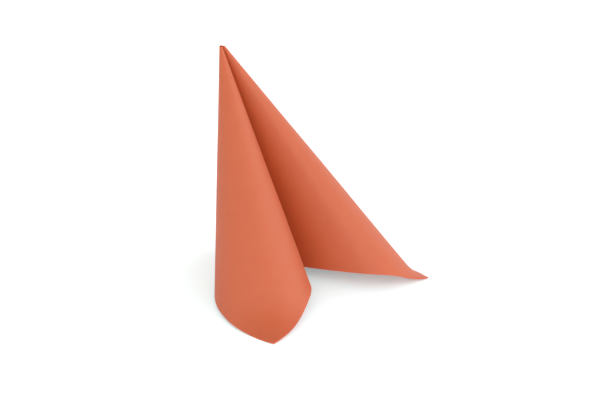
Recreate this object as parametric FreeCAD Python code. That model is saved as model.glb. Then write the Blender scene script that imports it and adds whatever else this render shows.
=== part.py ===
import math
import os

import FreeCAD
import Part

V = FreeCAD.Vector

# Napkin: a square folded once, so the doubled sheet is twice as long as it is wide
napkin_side = 400.0
rolled_point = 5.6
half_side = napkin_side / 2 + rolled_point
corner_reach = half_side * math.sqrt(2)

# Standing size: height of the cone's own apex, and how far below it the rolled point is open
apex_height = 206.1
point_drop = 5.5

# Sheet thickness at the open edges, and where the layers are pinched together at the point
open_thickness = 0.9
pinched_thickness = 0.2

# Line that the folded sheet takes round the table, seen from above, from one flap to the other
flap_in_lobe = [(4.6, -30), (44.1, -60.3), (87.7, -118.7), (67.4, -163.6)]
lobe_front = [(42.1, -170.5), (15.4, -160.5), (-2.4, -121.3), (-3, -57.5)]
back_ridge = [(3.1, -5.5)]
wing_back = [(42.2, -1.9), (106.5, -26.9), (169.9, -49.2)]
wing_tail = [(178.7, -77), (165.1, -96.1)]
flap_in_wing = [(133.3, -91.8), (67.5, -61.8), (9, -18.4)]
plan_centre = (92.98, -95.99)

# Angles on the flat sheet, measured at the apex from the back ridge
corner_angle = 45.0
lobe_flap_angle = 87.0
wing_flap_angle = -89.0
foot_start = 3.0
foot_end = -38.0
foot_fade_front = 12.0
foot_fade_tail = 4.0

# Corners that lie bent outwards on the table: direction of the bend on the flat sheet, its length
# to the corner, and its angle
lobe_bend = (45.0, 47.0, 47.0)
tail_bend = (-41.4, 23.0, 49.1)

# A sheet rolled to a point is flat along each straight line, so it is built in narrow strips
# between such lines. These limit how wide a strip is and how much the sheet turns across it
widest_strip = 2.5
most_turn = 5.0
bend_step = 8.0

apex = V(0, 0, apex_height)


def spline_through(points, parameters):
    curve = Part.BSplineCurve()
    curve.interpolate(Points=points, Parameters=parameters)
    return curve


# Plan curve on the table
plan = flap_in_lobe + lobe_front + back_ridge + wing_back + wing_tail + flap_in_wing
plan_points = [V(x, y, 0) for x, y in plan]
plan_steps = [0.0]
for near, far in zip(plan_points, plan_points[1:]):
    plan_steps.append(plan_steps[-1] + math.sqrt(far.distanceToPoint(near)))
plan_curve = spline_through(plan_points, plan_steps)
ridge_step = plan_steps[len(flap_in_lobe) + len(lobe_front)]


def direction(step):
    line = plan_curve.value(step) - apex
    return line.normalize()


# Flat angle along the curve: the angle between straight lines adds up the same way flat and folded
samples = 2400
steps = [plan_steps[-1] * k / samples for k in range(samples + 1)]
turned = [0.0]
for near, far in zip(steps, steps[1:]):
    turned.append(turned[-1] + math.degrees(direction(near).getAngle(direction(far))))
ridge_turn = turned[round(ridge_step / plan_steps[-1] * samples)]


def step_at(angle):
    wanted = ridge_turn - angle
    for k in range(samples):
        if turned[k + 1] >= wanted:
            share = (wanted - turned[k]) / (turned[k + 1] - turned[k])
            return steps[k] + share * (steps[k + 1] - steps[k])
    return steps[-1]


def axes_at(angle):
    """Down the sheet, across it towards the lobe's flap, and out of its face."""
    step = step_at(angle)
    down = direction(step)
    across = plan_curve.tangent(step)[0] * -1
    across = across - down * across.dot(down)
    across.normalize()
    return down, across, down.cross(across)


taper = (open_thickness - pinched_thickness) / corner_reach


def thickness(reach):
    return pinched_thickness + taper * reach


def sheet_point(angle, reach, side):
    """Point of the outer (side 1) or inner (side -1) face: straight down from the apex, and bent at
    a corner, where the sheet lies on the table."""
    for toward, length, bend in (lobe_bend, tail_bend):
        off = math.radians(angle - toward)
        bend_line = corner_reach - length
        past = reach * math.cos(off) - bend_line
        if past > 0 and abs(angle - toward) < 20:
            beside = reach * math.sin(off)
            turn = math.atan2(beside, bend_line)
            down, across, out = axes_at(toward + math.degrees(turn))
            ahead = down * math.cos(turn) - across * math.sin(turn)
            radius = length / math.radians(bend)
            bent = past / radius
            middle = apex + down * math.hypot(bend_line, beside)
            middle = middle + ahead * (radius * math.sin(bent)) + out * (radius * (1 - math.cos(bent)))
            face = out * math.cos(bent) - ahead * math.sin(bent)
            half = thickness(reach) / 2
            middle.z = max(middle.z, abs(face.z) * half)
            return middle + face * (side * half)
    down, across, out = axes_at(angle)
    return apex + down * reach + out * (side * thickness(reach) / 2)


def reach_to_level(angle, drop, side):
    """How far down the sheet one face meets the level this far below the apex."""
    down, across, out = axes_at(angle)
    lift = side * out.z / 2
    return (drop + lift * pinched_thickness) / (-down.z - lift * taper)


def edge_reach(angle, side):
    """The cut edge of the flat sheet, except where the sheet stands on the table."""
    from_ridge = abs(angle)
    if from_ridge > corner_angle:
        from_ridge = 90 - from_ridge
    flat = half_side / math.cos(math.radians(from_ridge))
    if angle > foot_start:
        share = 1 - (angle - foot_start) / foot_fade_front
    elif angle < foot_end:
        share = 1 - (foot_end - angle) / foot_fade_tail
    else:
        share = 1
    if share <= 0:
        return flat
    share = share * share * (3 - 2 * share)
    return flat + (reach_to_level(angle, apex_height, side) - flat) * share


def lines_between(start, end):
    """Angles of the straight lines between two borders, closer where the sheet turns more."""
    angles = [start]
    step = 0.25 if end > start else -0.25
    last_out = axes_at(start)[2]
    angle = start
    while abs(end - angle) > 3 * abs(step):
        angle += step
        out = axes_at(angle)[2]
        turn = math.degrees(out.getAngle(last_out))
        if abs(angle - angles[-1]) >= widest_strip or turn >= most_turn:
            angles.append(angle)
            last_out = out
    return angles[1:]


def line_points(angle, side):
    """Points down one straight line: its two ends, and steps round the bend at a corner."""
    edge = edge_reach(angle, side)
    reaches = [reach_to_level(angle, point_drop, side)]
    for toward, length, bend in (lobe_bend, tail_bend):
        bend_start = (corner_reach - length) / math.cos(math.radians(angle - toward))
        if abs(angle - toward) < 20 and bend_start < edge - 1:
            count = math.ceil((edge - bend_start) / bend_step)
            reaches += [bend_start + (edge - bend_start) * k / count for k in range(count)]
    reaches.append(edge)
    return [sheet_point(angle, reach, side) for reach in reaches]


def flat_face(points):
    return Part.Face(Part.makePolygon(points + [points[0]]))


def strip_between(near, far):
    """Flat triangles between two lines of points."""
    triangles = []
    i = j = 0
    while i < len(near) - 1 or j < len(far) - 1:
        down_near = i < len(near) - 1
        if down_near and j < len(far) - 1:
            down_near = near[i + 1].distanceToPoint(far[j]) <= near[i].distanceToPoint(far[j + 1])
        if down_near:
            triangles.append(flat_face([near[i], far[j], near[i + 1]]))
            i += 1
        else:
            triangles.append(flat_face([near[i], far[j], far[j + 1]]))
            j += 1
    return triangles


# Straight lines of the sheet, from the flap in the lobe to the flap in the wing
borders = [lobe_flap_angle, corner_angle, foot_start, foot_end, -corner_angle, wing_flap_angle]
angles = [lobe_flap_angle]
for start, end in zip(borders, borders[1:]):
    angles += lines_between(start, end) + [end]
outer = [line_points(angle, 1) for angle in angles]
inner = [line_points(angle, -1) for angle in angles]

# The two faces of the sheet, and its cut edge where it is clear of the table
faces = []
for k in range(len(angles) - 1):
    faces += strip_between(outer[k], outer[k + 1])
    faces += strip_between(inner[k], inner[k + 1])
    on_table = foot_start >= angles[k] and angles[k + 1] >= foot_end
    if not on_table:
        faces += strip_between([outer[k][-1], inner[k][-1]], [outer[k + 1][-1], inner[k + 1][-1]])

# The foot on the table, the open point, and the folded edges of the two flaps
foot = range(angles.index(foot_start), angles.index(foot_end) + 1)
faces.append(flat_face([outer[k][-1] for k in foot] + [inner[k][-1] for k in reversed(foot)]))
faces.append(flat_face([line[0] for line in outer] + [line[0] for line in reversed(inner)]))
for k in (0, -1):
    faces.append(flat_face([outer[k][0], outer[k][-1], inner[k][-1], inner[k][0]]))

# One closed solid, standing on the table with its origin under the middle
shell = Part.makeShell(faces)
shell.sewShape(0.001)
napkin = Part.makeSolid(shell)
if napkin.Volume < 0:
    napkin.reverse()
napkin.translate(V(-plan_centre[0], -plan_centre[1], 0))

os.makedirs("parts", exist_ok=True)
napkin.exportStep("parts/folded_napkin.step")
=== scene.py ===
import math

import bpy
import numpy as np
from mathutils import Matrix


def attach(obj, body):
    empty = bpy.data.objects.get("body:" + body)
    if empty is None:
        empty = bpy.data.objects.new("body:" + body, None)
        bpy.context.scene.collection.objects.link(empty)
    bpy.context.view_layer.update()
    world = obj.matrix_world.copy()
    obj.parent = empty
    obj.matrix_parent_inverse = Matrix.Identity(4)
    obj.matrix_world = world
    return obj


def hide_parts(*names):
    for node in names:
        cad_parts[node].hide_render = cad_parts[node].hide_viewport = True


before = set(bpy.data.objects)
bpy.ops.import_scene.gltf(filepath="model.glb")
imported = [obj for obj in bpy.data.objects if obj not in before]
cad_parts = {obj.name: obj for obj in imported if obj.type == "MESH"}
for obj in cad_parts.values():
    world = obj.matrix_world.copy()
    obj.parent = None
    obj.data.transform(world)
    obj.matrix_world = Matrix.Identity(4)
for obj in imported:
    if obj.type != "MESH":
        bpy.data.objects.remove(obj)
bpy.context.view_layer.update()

# Napkin: a 400 mm square of coral airlaid paper, folded once, rolled to a point from the middle of
# the fold and stood up. The front lobe is hollow and the side wing holds a pocket, and the corner of
# each is bent outwards and lies on the table. Lengths are in millimetres, angles in degrees.
napkin_side = 400.0
open_thickness = 0.9
point_thickness = 0.2

# Every straight line in the sheet runs down from one apex, just above the open point. The rolled
# paper there adds a little to the length of each
rolled_point = 5.6
half_side = napkin_side / 2 + rolled_point
corner_reach = half_side * math.sqrt(2)
apex_height = 206.1
apex = np.array([-92.98, 95.99, apex_height])
point_drop = 5.5

# Where those lines would meet the table, seen from above and measured from below the apex
flap_in_lobe = [(4.6, -30), (44.1, -60.3), (87.7, -118.7), (67.4, -163.6)]
lobe_front = [(42.1, -170.5), (15.4, -160.5), (-2.4, -121.3), (-3, -57.5)]
back_ridge = [(3.1, -5.5)]
wing_back = [(42.2, -1.9), (106.5, -26.9), (169.9, -49.2)]
wing_tail = [(178.7, -77), (165.1, -96.1)]
flap_in_wing = [(133.3, -91.8), (67.5, -61.8), (9, -18.4)]
to_ridge = flap_in_lobe + lobe_front
table_line = np.array(to_ridge + back_ridge + wing_back + wing_tail + flap_in_wing, float)

# Angles on the flat sheet, measured at the apex from the back ridge. Between the foot's two angles
# the sheet stands on the table, and past them its cut edge fades back to the flat sheet's own
corner_angle = 45
lobe_flap, wing_flap = 87.0, -89.0
foot_start, foot_end = 3, -38
foot_fade_front, foot_fade_tail = 12, 4

# Corners bent outwards: direction on the flat sheet, length from the bend to the corner, and how far
# it turns. Each bend ends within bend_width to either side of its direction
lobe_bend = (45.0, 47.0, math.radians(47.0))
tail_bend = (-41.4, 23.0, math.radians(49.1))
bend_width = 20


def half_thickness(reach):
    return (point_thickness + (open_thickness - point_thickness) * reach / corner_reach) / 2


def spline(points, at):
    """Smooth curve through the points at these shares of its length, and each point's own share."""
    gaps = np.sqrt(np.linalg.norm(np.diff(points, axis=0), axis=1))
    knots = np.concatenate([[0], np.cumsum(gaps)])
    n = len(knots)
    bend = np.zeros((n, n))
    pull = np.zeros((n, points.shape[1]))
    slopes = np.diff(points, axis=0) / gaps[:, None]
    for k in range(1, n - 1):
        bend[k, k - 1:k + 2] = gaps[k - 1], 2 * (gaps[k - 1] + gaps[k]), gaps[k]
        pull[k] = 6 * (slopes[k] - slopes[k - 1])
    bend[0, :3] = gaps[1], -gaps[0] - gaps[1], gaps[0]
    bend[-1, -3:] = gaps[-1], -gaps[-1] - gaps[-2], gaps[-2]
    curve = np.linalg.solve(bend, pull)
    at = at * knots[-1]
    k = np.clip(np.searchsorted(knots, at, side="right") - 1, 0, n - 2)
    gap = gaps[k][:, None]
    after = (at - knots[k])[:, None]
    before = gap - after
    place = (curve[k] * before ** 3 + curve[k + 1] * after ** 3) / (6 * gap)
    place += (points[k] / gap - curve[k] * gap / 6) * before
    place += (points[k + 1] / gap - curve[k + 1] * gap / 6) * after
    return place, knots / knots[-1]


# Directions down the sheet, and the angle that each makes with the back ridge on the flat sheet
samples = 6001
along = np.linspace(0, 1, samples)
foot_line, stops = spline(table_line, along)
down = np.column_stack([foot_line, np.full(samples, -apex_height)])
down /= np.linalg.norm(down, axis=1)[:, None]
turns = np.degrees(np.linalg.norm(np.diff(down, axis=0), axis=1))
turned = np.concatenate([[0], np.cumsum(turns)])
sheet_angle = np.interp(stops[len(to_ridge)], along, turned) - turned


def direction(angle):
    """Down the sheet from the apex at this flat angle."""
    found = np.stack([np.interp(angle, sheet_angle[::-1], down[::-1, k]) for k in range(3)], -1)
    return found / np.linalg.norm(found, axis=-1)[..., None]


def axes_at(angle):
    """Down the sheet, across it towards the lobe's flap, and out of its face."""
    nearby = 0.2
    ahead = direction(angle)
    across = direction(angle + nearby) - direction(angle - nearby)
    across -= ahead * np.sum(ahead * across, axis=-1)[..., None]
    across /= np.linalg.norm(across, axis=-1)[..., None]
    return ahead, across, np.cross(ahead, across)


def edge_reach(angle):
    """Length of the flat sheet down each line, or down to the table where the sheet stands on it."""
    from_ridge = np.abs(angle)
    from_ridge = np.where(from_ridge > corner_angle, 90 - from_ridge, from_ridge)
    flat = half_side / np.cos(np.radians(from_ridge))
    front_share = 1 - (angle - foot_start) / foot_fade_front
    tail_share = 1 - (foot_end - angle) / foot_fade_tail
    stands = np.clip(np.minimum(front_share, tail_share), 0, 1)
    stands = stands * stands * (3 - 2 * stands)
    to_table = apex_height / -direction(angle)[..., 2]
    return flat + (to_table - flat) * stands


def sheet(angle, reach, lift):
    """Points of the sheet at these flat angles and lengths, lifted off its middle by lift."""
    ahead, _, out = axes_at(angle)
    place = ahead * reach[..., None]
    face = out.copy()
    for toward, length, turn in (lobe_bend, tail_bend):
        off = np.radians(angle - toward)
        bend_line = corner_reach - length
        past = reach * np.cos(off) - bend_line
        bent = (past > 0) & (np.abs(angle - toward) < bend_width)
        beside = reach[bent] * np.sin(off[bent])
        lean = np.arctan2(beside, bend_line)
        ahead_b, across_b, out_b = axes_at(toward + np.degrees(lean))
        straight = ahead_b * np.cos(lean)[:, None] - across_b * np.sin(lean)[:, None]
        radius = length / turn
        arc = (past[bent] / radius)[:, None]
        place[bent] = (ahead_b * np.hypot(bend_line, beside)[:, None]
                       + straight * radius * np.sin(arc) + out_b * radius * (1 - np.cos(arc)))
        face[bent] = out_b * np.cos(arc) - straight * np.sin(arc)
        rests_at = half_thickness(reach[bent]) * np.abs(face[bent][:, 2]) - apex_height
        place[bent, 2] = np.maximum(place[bent, 2], rests_at)
    return apex + place + face * lift[..., None]


# One net of points for both faces: a line down the sheet each quarter degree, with its points closer
# together towards the open edge
line_gap = 0.25
points_down = 64
crowding = 0.8
line_angles = np.arange(lobe_flap, wing_flap - 0.01, -line_gap)
shares = np.linspace(0, 1, points_down) ** crowding
angle_net, share_net = np.meshgrid(line_angles, shares, indexing="ij")
top_reach = point_drop / -direction(line_angles)[:, 2]
low_reach = edge_reach(line_angles)
reach_net = top_reach[:, None] + (low_reach - top_reach)[:, None] * share_net
half_thick = half_thickness(reach_net)

# Soft unevenness of standing paper: three crossing waves, each with its share of the height, how
# long it is down the sheet, how wide it is across, and its start. They fade out at both ends
wave_height = 0.28
crossing_waves = [(0.55, 23, 9, 0), (0.45, 41, -5, 2), (0.35, 90, 2.3, 1)]
fade = np.sin(np.pi * np.clip(share_net * 1.02, 0, 1)) ** 0.7 * share_net
waves = wave_height * fade * sum(
    share * np.sin(reach_net / length + angle_net / width + start)
    for share, length, width, start in crossing_waves)

outer = sheet(angle_net, reach_net, waves + half_thick)
inner = sheet(angle_net, reach_net, waves - half_thick)

# The cut edge shows two plies, so a fine groove runs along its middle
ply_groove = 0.15
edge_mid = sheet(line_angles, low_reach - ply_groove, waves[:, -1])
point_mid = sheet(line_angles, top_reach + ply_groove, waves[:, 0])

# Every point is kept a hair above the table, so that the paper never cuts into it
table_gap = 0.02
lines, rows = angle_net.shape
verts = np.concatenate([outer.reshape(-1, 3), inner.reshape(-1, 3), edge_mid, point_mid])
verts[:, 2] = np.maximum(verts[:, 2], table_gap)
first_inner = lines * rows
first_edge = 2 * lines * rows
first_point = first_edge + lines
faces = []

# The two faces of the sheet, its grooved cut edge, and the grooved rim of the open point
for i in range(lines - 1):
    for j in range(rows - 1):
        here = i * rows + j
        faces.append((here, here + 1, here + rows + 1, here + rows))
        back = first_inner + here
        faces.append((back, back + rows, back + rows + 1, back + 1))
    low = i * rows + rows - 1
    low_next = low + rows
    groove, groove_next = first_edge + i, first_edge + i + 1
    faces.append((low, groove, groove_next, low_next))
    faces.append((groove, first_inner + low, first_inner + low_next, groove_next))
    top = i * rows
    top_next = top + rows
    groove, groove_next = first_point + i, first_point + i + 1
    faces.append((top, top_next, groove_next, groove))
    faces.append((groove, groove_next, first_inner + top_next, first_inner + top))

# The folded edges of the two flaps
for i, way in ((0, 1), (lines - 1, -1)):
    for j in range(rows - 1):
        here = i * rows + j
        faces.append((here, first_inner + here, first_inner + here + 1, here + 1)[::way])
    top = i * rows
    low = top + rows - 1
    faces.append((low, first_inner + low, first_edge + i)[::way])
    faces.append((top, first_point + i, first_inner + top)[::way])

# The cut and folded edges stay sharp, and all else is smooth
MM = 0.001
sharpest_smooth = math.radians(50)
mesh = bpy.data.meshes.new("napkin")
mesh.from_pydata([tuple(v) for v in verts * MM], [], faces)
mesh.shade_smooth()
mesh.set_sharp_from_angle(angle=sharpest_smooth)
napkin = bpy.data.objects.new("napkin", mesh)
bpy.context.scene.collection.objects.link(napkin)


def rgb(hex_code):
    """Colour as written for a screen, turned linear for the shaders."""
    parts = [int(hex_code[k:k + 2], 16) / 255 for k in (0, 2, 4)]
    linear = [c / 12.92 if c <= 0.04045 else ((c + 0.055) / 1.055) ** 2.4 for c in parts]
    return (*linear, 1.0)


def node(tree, kind, links=(), **settings):
    """Add a shader node. Links pair a socket with a source or a plain value, and settings name the
    node's properties or sockets."""
    made = tree.nodes.new(kind)
    for name, value in settings.items():
        if hasattr(made, name):
            setattr(made, name, value)
        else:
            made.inputs[name.replace("_", " ")].default_value = value
    for socket, source in links:
        if isinstance(source, bpy.types.NodeSocket):
            tree.links.new(source, made.inputs[socket])
        else:
            made.inputs[socket].default_value = source
    return made


# Airlaid paper, dyed coral right through: soft and matte, with short felted fibres, a faint
# cloudy density, and light that glows a little through the sheet
cloud_size = 9 * MM
fibre_width = 0.7 * MM
fibre_height = 0.15 * MM
light_through = 0.35
paper = bpy.data.materials.new("coral airlaid paper")
paper.use_nodes = True
tree = paper.node_tree
tree.nodes.clear()
where = node(tree, "ShaderNodeTexCoord").outputs["Object"]
clouds = node(tree, "ShaderNodeTexNoise", [("Vector", where)],
              Scale=1 / cloud_size, Detail=3.0, Roughness=0.6)
fibres = node(tree, "ShaderNodeTexNoise", [("Vector", where)],
              Scale=1 / fibre_width, Detail=4.0, Roughness=0.65, Distortion=1.2)
tone = node(tree, "ShaderNodeMixRGB", [("Fac", clouds.outputs["Fac"])],
            Color1=rgb("cf5e1e"), Color2=rgb("d36929"))
fleck = node(tree, "ShaderNodeMapRange", [("Value", fibres.outputs["Fac"])], To_Min=0.96, To_Max=1.04)
colour = node(tree, "ShaderNodeVectorMath",
              [(0, tone.outputs["Color"]), (1, fleck.outputs["Result"])], operation="MULTIPLY")
nap = node(tree, "ShaderNodeBump", [("Height", fibres.outputs["Fac"])],
           Strength=0.35, Distance=fibre_height)
soft = node(tree, "ShaderNodeBsdfPrincipled",
            [("Base Color", colour.outputs["Vector"]), ("Normal", nap.outputs["Normal"])],
            Roughness=0.6, IOR=1.62, Specular_IOR_Level=1.0, Sheen_Weight=0.12, Sheen_Roughness=0.4)
through = node(tree, "ShaderNodeBsdfTranslucent", [("Normal", nap.outputs["Normal"])],
               Color=rgb("fc5508"))
both = node(tree, "ShaderNodeMixShader", [(1, soft.outputs["BSDF"]), (2, through.outputs["BSDF"])],
            Fac=light_through)
node(tree, "ShaderNodeOutputMaterial", [("Surface", both.outputs["Shader"])])
mesh.materials.append(paper)

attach(napkin, "root")
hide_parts("folded_napkin")

# Table: white paper laid flat, large enough to fill every view. It lights the napkin as plain white
# paper does. The camera sees it overexposed to white, with a cold glow that balances the coral light
# from the napkin, so that its shadow is a plain grey.
table_width = 12
bpy.ops.mesh.primitive_plane_add(size=table_width, location=(0, 0, 0))
table = bpy.context.object
table.name = "studio_table"
white = bpy.data.materials.new("white table paper")
white.use_nodes = True
tree = white.node_tree
tree.nodes.clear()
cover = node(tree, "ShaderNodeBsdfDiffuse", Color=(0.92, 0.92, 0.92, 1))
shown = node(tree, "ShaderNodeBsdfDiffuse", Color=(1.11, 0.88, 0.88, 1))
glow = node(tree, "ShaderNodeEmission", Color=(0, 1, 1, 1), Strength=0.32)
bright = node(tree, "ShaderNodeAddShader", [(0, shown.outputs["BSDF"]), (1, glow.outputs["Emission"])])
seen = node(tree, "ShaderNodeLightPath").outputs["Is Camera Ray"]
mix = node(tree, "ShaderNodeMixShader",
           [("Fac", seen), (1, cover.outputs["BSDF"]), (2, bright.outputs["Shader"])])
node(tree, "ShaderNodeOutputMaterial", [("Surface", mix.outputs["Shader"])])
table.data.materials.append(white)

# Light tent: four soft white walls and a dim ceiling, most of it from the right and the front. Each
# is brightest in the direction given and fades out to the sides of it with the squared cosine.
walls = [
    ((1, 0, 0), 2.41),
    ((-1, 0, 0), 1.21),
    ((0, -1, 0), 2.36),
    ((0, 1, 0), 1.86),
    ((0, 0, 1), 0.30),
]
world = bpy.data.worlds.new("light tent")
bpy.context.scene.world = world
world.use_nodes = True
tree = world.node_tree
tree.nodes.clear()
facing = node(tree, "ShaderNodeTexCoord").outputs["Generated"]
total = 0.0
for toward, level in walls:
    cosine = node(tree, "ShaderNodeVectorMath", [(0, facing), (1, toward)], operation="DOT_PRODUCT")
    front = node(tree, "ShaderNodeMath", [(0, cosine.outputs["Value"]), (1, 0.0)], operation="MAXIMUM")
    squared = node(tree, "ShaderNodeMath", [(0, front.outputs["Value"]), (1, front.outputs["Value"])],
                   operation="MULTIPLY")
    wall = node(tree, "ShaderNodeMath", [(0, squared.outputs["Value"]), (1, level), (2, total)],
                operation="MULTIPLY_ADD")
    total = wall.outputs["Value"]
tent = node(tree, "ShaderNodeBackground", [("Strength", total)], Color=(1, 1, 1, 1))
plain = node(tree, "ShaderNodeBackground", Color=(1, 1, 1, 1), Strength=1.0)
seen = node(tree, "ShaderNodeLightPath").outputs["Is Camera Ray"]
mix = node(tree, "ShaderNodeMixShader",
           [("Fac", seen), (1, tent.outputs["Background"]), (2, plain.outputs["Background"])])
node(tree, "ShaderNodeOutputWorld", [("Surface", mix.outputs["Shader"])])
bpy.context.scene.view_settings.view_transform = "Standard"

# Camera: a long lens about a metre and a half away and above the table, so that the napkin's
# upright lines lean very little
eye = bpy.data.cameras.new("camera")
eye.sensor_width = 36
eye.lens = 99.12
eye.clip_start = 0.05
camera = bpy.data.objects.new("camera", eye)
bpy.context.scene.collection.objects.link(camera)
bpy.context.scene.camera = camera
tilt_down = math.radians(24.4)
camera.location = (-0.02040, -1.32187, 0.69025)
camera.rotation_euler = (math.radians(90) - tilt_down, 0, 0)
